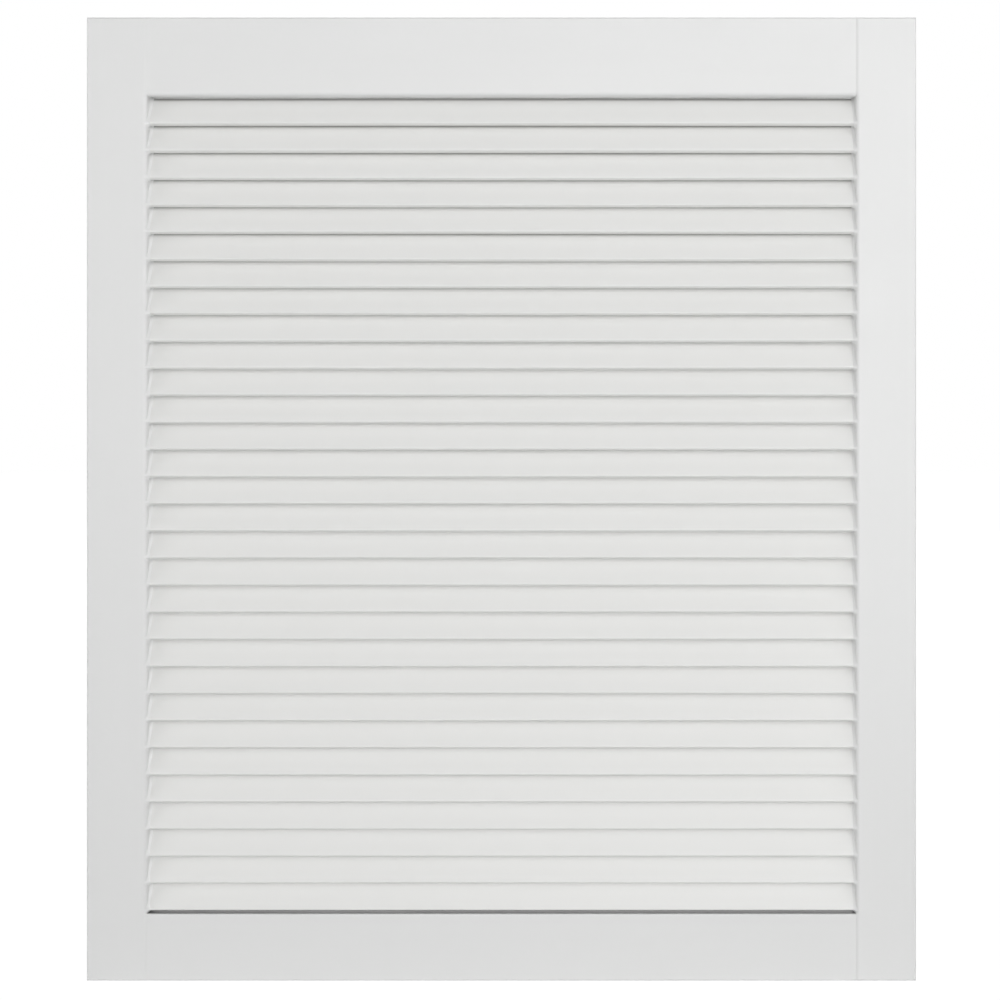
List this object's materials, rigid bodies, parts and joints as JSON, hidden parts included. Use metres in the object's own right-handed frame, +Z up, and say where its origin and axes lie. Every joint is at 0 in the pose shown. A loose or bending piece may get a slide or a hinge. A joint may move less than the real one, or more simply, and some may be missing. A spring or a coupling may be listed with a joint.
{
  "type": "louvred door",
  "caption": "White painted cabinet door leaf with a flat frame of stiles and rails round a bank of fixed slats, tilted so that air passes and sight doesn't.",
  "frame": {"origin": "centre of the hinge edge, the outer edge face of the left stile", "axes": "+X across the leaf from the hinge edge to the closing edge, +Y from the front face to the back face, +Z up"},
  "size_m": [0.594, 0.021, 0.69],
  "materials": {
    "frame": "satin white paint on solid wood",
    "slats": "satin white paint on solid wood"
  },
  "bodies": {
    "root": {"left_stile": "frame", "right_stile": "frame", "top_rail": "frame", "bottom_rail": "frame", "slat_01": "slats", "slat_02": "slats", "slat_03": "slats", "slat_04": "slats", "slat_05": "slats", "slat_06": "slats", "slat_07": "slats", "slat_08": "slats", "slat_09": "slats", "slat_10": "slats", "slat_11": "slats", "slat_12": "slats", "slat_13": "slats", "slat_14": "slats", "slat_15": "slats", "slat_16": "slats", "slat_17": "slats", "slat_18": "slats", "slat_19": "slats", "slat_20": "slats", "slat_21": "slats", "slat_22": "slats", "slat_23": "slats", "slat_24": "slats", "slat_25": "slats", "slat_26": "slats", "slat_27": "slats", "slat_28": "slats", "slat_29": "slats", "slat_30": "slats"}
  },
  "joints": []
}
